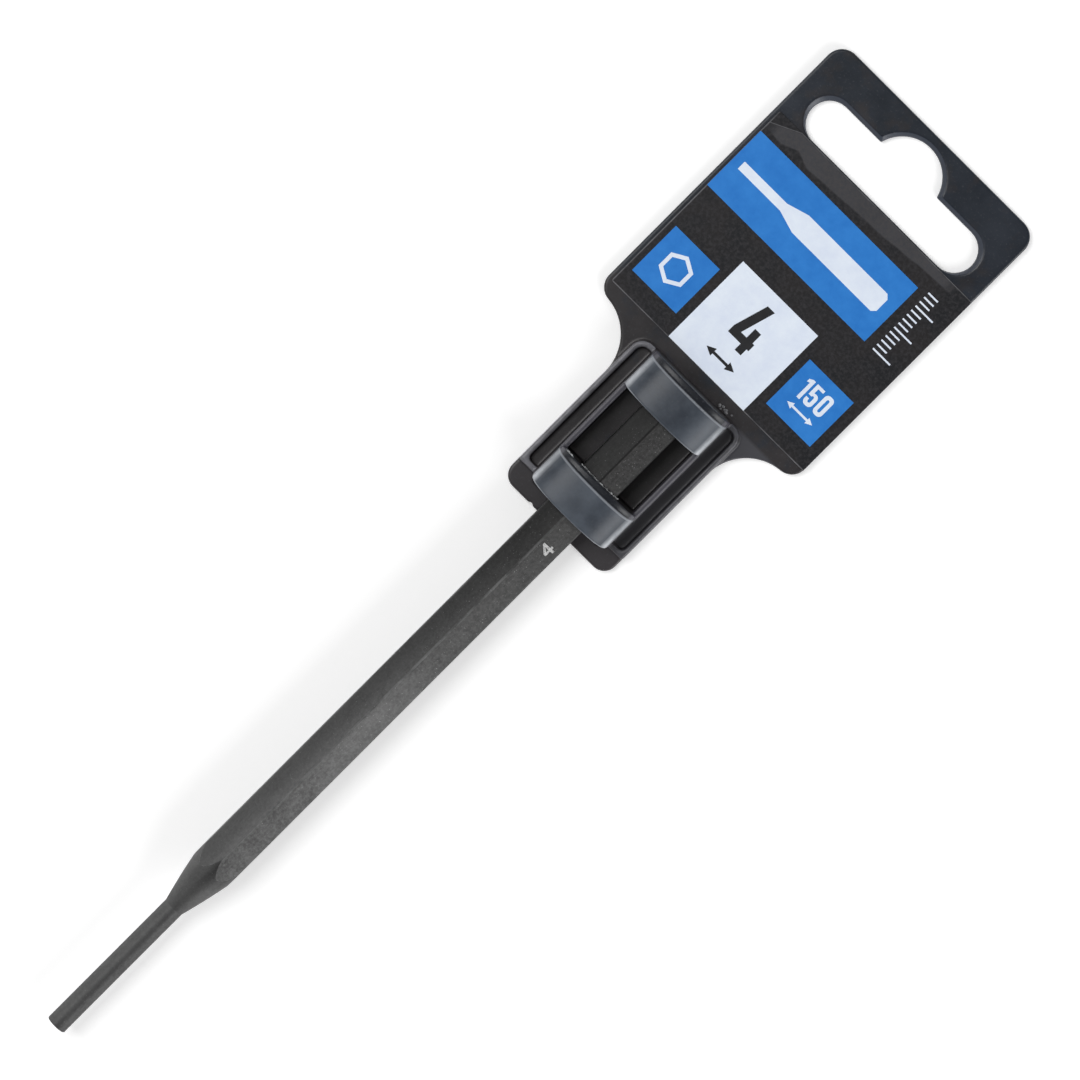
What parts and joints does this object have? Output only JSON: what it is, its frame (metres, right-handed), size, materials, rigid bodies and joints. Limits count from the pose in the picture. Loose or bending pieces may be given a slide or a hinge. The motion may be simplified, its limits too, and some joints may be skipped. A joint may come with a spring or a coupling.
{
  "type": "pin punch in peg hanger",
  "caption": "Black hexagonal pin punch with a slender round pin, held under arched bands in a flat plastic peg hanger with a label panel; it draws out along its axis.",
  "frame": {"origin": "under the middle of the whole length, on the surface that the hanger's flat back lies on", "axes": "+Y along the punch from its tip to its head and on to the hanger's top edge, +Z out of the hanger's front"},
  "size_m": [0.046, 0.2094, 0.0116],
  "materials": {
    "black_steel": "black oxide over ground steel, satin",
    "black_plastic": "moulded, soft sheen",
    "label_film": "printed film, satin, with blue and white fields"
  },
  "bodies": {
    "hanger": {"hanger_card": "black_plastic", "left_rim": "black_plastic", "right_rim": "black_plastic", "left_cradle_wall": "black_plastic", "right_cradle_wall": "black_plastic", "lower_band": "black_plastic", "upper_band": "black_plastic", "guide_lip": "black_plastic", "end_stop": "black_plastic", "label": "label_film"},
    "punch": {"punch": "black_steel"}
  },
  "joints": [
    {"name": "punch_slide", "type": "slide", "parent": "hanger", "child": "punch", "axis": [0, -1, 0], "range_m": [0, 0.045]}
  ]
}
